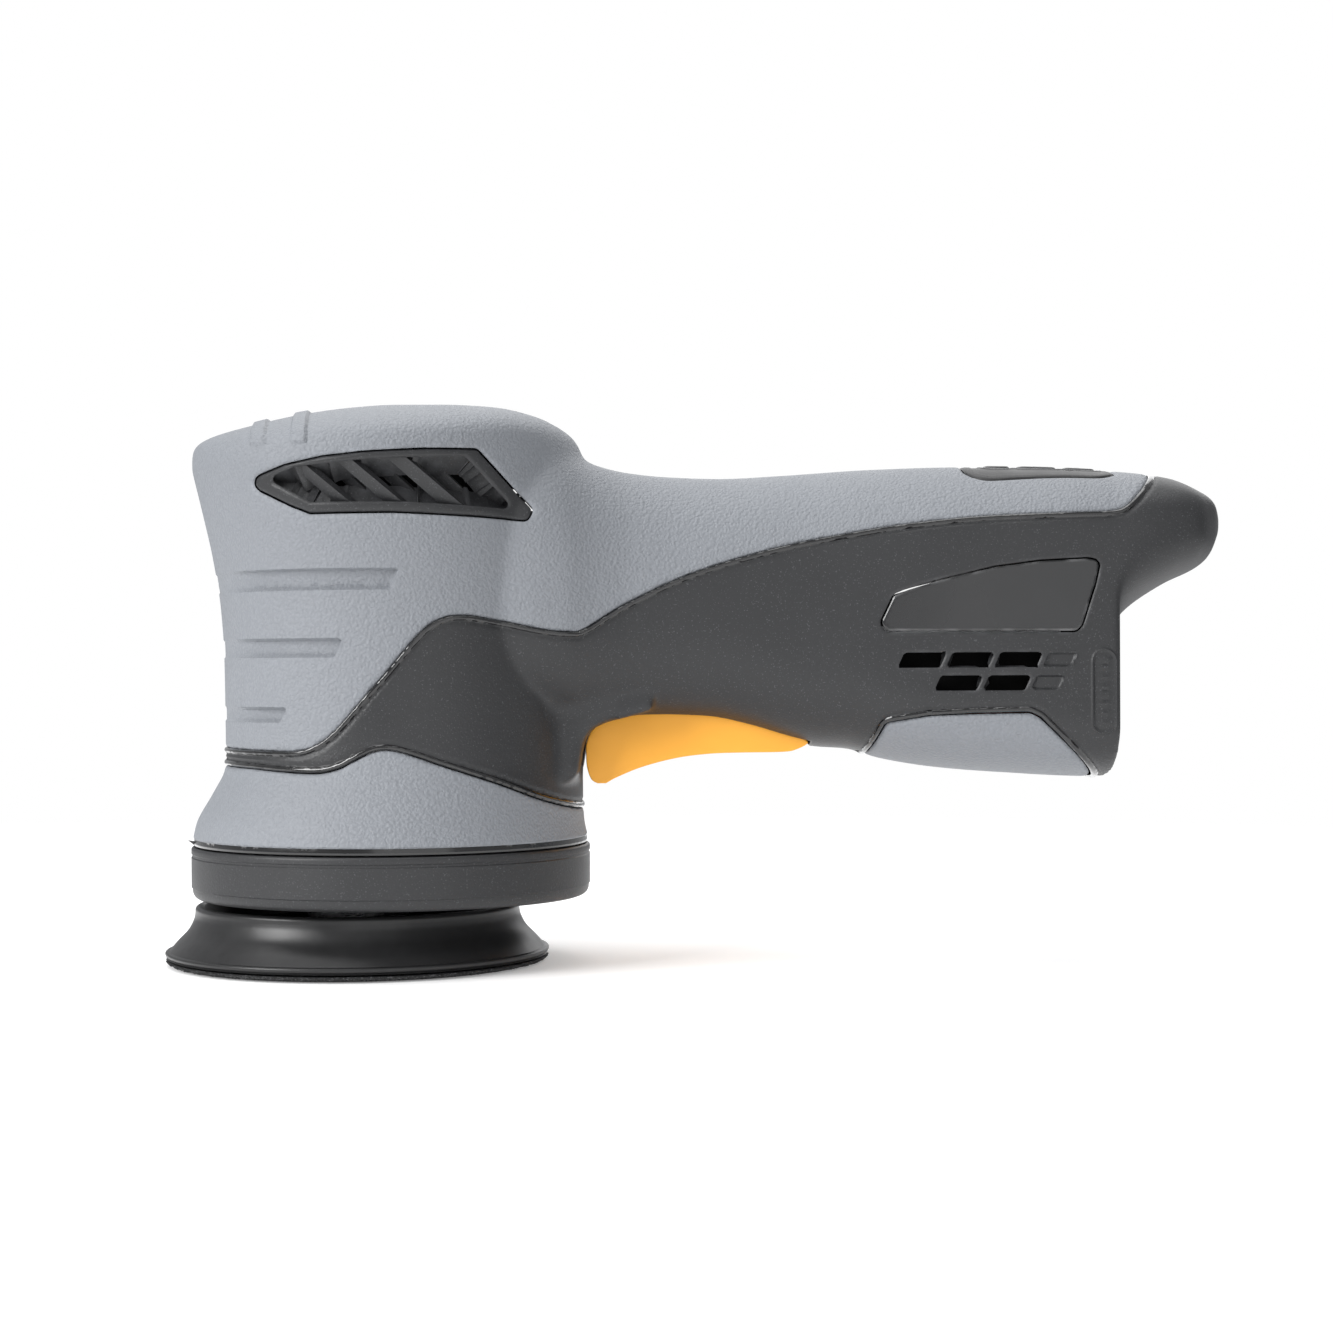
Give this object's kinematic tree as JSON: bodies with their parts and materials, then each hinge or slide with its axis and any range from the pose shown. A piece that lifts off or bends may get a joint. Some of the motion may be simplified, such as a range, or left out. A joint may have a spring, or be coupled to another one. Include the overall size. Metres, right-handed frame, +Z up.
{
  "type": "orbital sander",
  "caption": "Cordless random orbital sander with a round motor head on a hook-faced pad, a straight handle with an orange trigger and a battery dock under an overhang.",
  "frame": {"origin": "centre of the pad's flat hook face, on the pad's own spindle axis", "axes": "+Z up along the motor axis, +X from the head back along the handle to the battery dock, +Y to the tool's right side"},
  "size_m": [0.2075, 0.079, 0.1104],
  "materials": {
    "soft_grip": "matte",
    "hard_shell": "satin",
    "gloss_trim": "gloss",
    "button_rubber": "satin",
    "pad_rubber": "satin",
    "hook_cloth": "matte",
    "steel": "satin",
    "lamination": "satin",
    "magnet": "satin",
    "counterweight": "satin",
    "aluminium": "satin",
    "copper": "satin",
    "inner_plastic": "satin",
    "plunger_plastic": "satin",
    "trigger_plastic": "satin",
    "board": "satin",
    "brass": "satin",
    "lead_cover": "satin"
  },
  "bodies": {
    "tool": {"grip_skin_left": "soft_grip", "grip_skin_right": "soft_grip", "collar_skin_left": "soft_grip", "collar_skin_right": "soft_grip", "heel_skin_left": "soft_grip", "heel_skin_right": "soft_grip", "housing_left": "hard_shell", "housing_right": "hard_shell", "vent_grille_left": "hard_shell", "vent_grille_right": "hard_shell", "shroud": "hard_shell", "battery_dock": "hard_shell", "badge_left": "gloss_trim", "badge_right": "gloss_trim", "control_panel": "gloss_trim", "motor_bearing_lower": "steel", "motor_bearing_upper": "steel", "trigger_pin": "steel", "trigger_spring": "steel", "housing_screw_1": "steel", "housing_screw_2": "steel", "housing_screw_3": "steel", "housing_screw_4": "steel", "stator_core": "lamination", "motor_can": "aluminium", "motor_bracket": "aluminium", "bearing_holder": "aluminium", "controller_tray": "aluminium", "windings_lower": "copper", "windings_upper": "copper", "switch_body": "inner_plastic", "display_board": "board", "controller_board": "board", "terminal_blade_1": "brass", "terminal_blade_2": "brass", "terminal_blade_3": "brass", "terminal_blade_4": "brass", "motor_lead_1": "lead_cover", "motor_lead_2": "lead_cover", "motor_lead_3": "lead_cover", "battery_lead_1": "lead_cover", "battery_lead_2": "lead_cover"},
    "rotor": {"motor_shaft": "steel", "rotor_core": "lamination", "rotor_magnets": "magnet", "cooling_fan": "inner_plastic", "eccentric_weight": "counterweight", "spindle_bearing_lower": "steel", "spindle_bearing_upper": "steel"},
    "pad": {"pad_spindle": "steel", "pad_hub": "steel", "pad_body": "pad_rubber", "hook_face": "hook_cloth"},
    "trigger": {"trigger": "trigger_plastic"},
    "plunger": {"switch_plunger": "plunger_plastic"},
    "button_1": {"button_1": "button_rubber"},
    "button_2": {"button_2": "button_rubber"},
    "button_3": {"button_3": "button_rubber"}
  },
  "joints": [
    {"name": "rotor_spin", "type": "hinge", "parent": "tool", "child": "rotor", "pos_m": [0.006, 0, 0.06], "axis": [0, 0, 1], "continuous": true},
    {"name": "pad_spin", "type": "hinge", "parent": "rotor", "child": "pad", "pos_m": [0, 0, 0.02], "axis": [0, 0, 1], "continuous": true},
    {"name": "trigger_pull", "type": "hinge", "parent": "tool", "child": "trigger", "pos_m": [0.084, 0, 0.053], "axis": [0, 1, 0], "range_deg": [0, 4.4], "stiffness_Nm_per_rad": 1.2, "springref_deg": -6.88, "deforming": ["trigger_spring"]},
    {"name": "plunger_slide", "type": "slide", "parent": "tool", "child": "plunger", "axis": [0, 0, 1], "range_m": [0, 0.00172]},
    {"name": "button_1_press", "type": "slide", "parent": "tool", "child": "button_1", "axis": [0, 0, -1], "range_m": [0, 0.0005], "stiffness_N_per_m": 600, "springref_m": -0.0005},
    {"name": "button_2_press", "type": "slide", "parent": "tool", "child": "button_2", "axis": [0, 0, -1], "range_m": [0, 0.0005], "stiffness_N_per_m": 600, "springref_m": -0.0005},
    {"name": "button_3_press", "type": "slide", "parent": "tool", "child": "button_3", "axis": [0, 0, -1], "range_m": [0, 0.0005], "stiffness_N_per_m": 600, "springref_m": -0.0005}
  ],
  "couplings": [
    {"joint": "plunger_slide", "follows": "trigger_pull", "m_per_rad": 0.022}
  ]
}
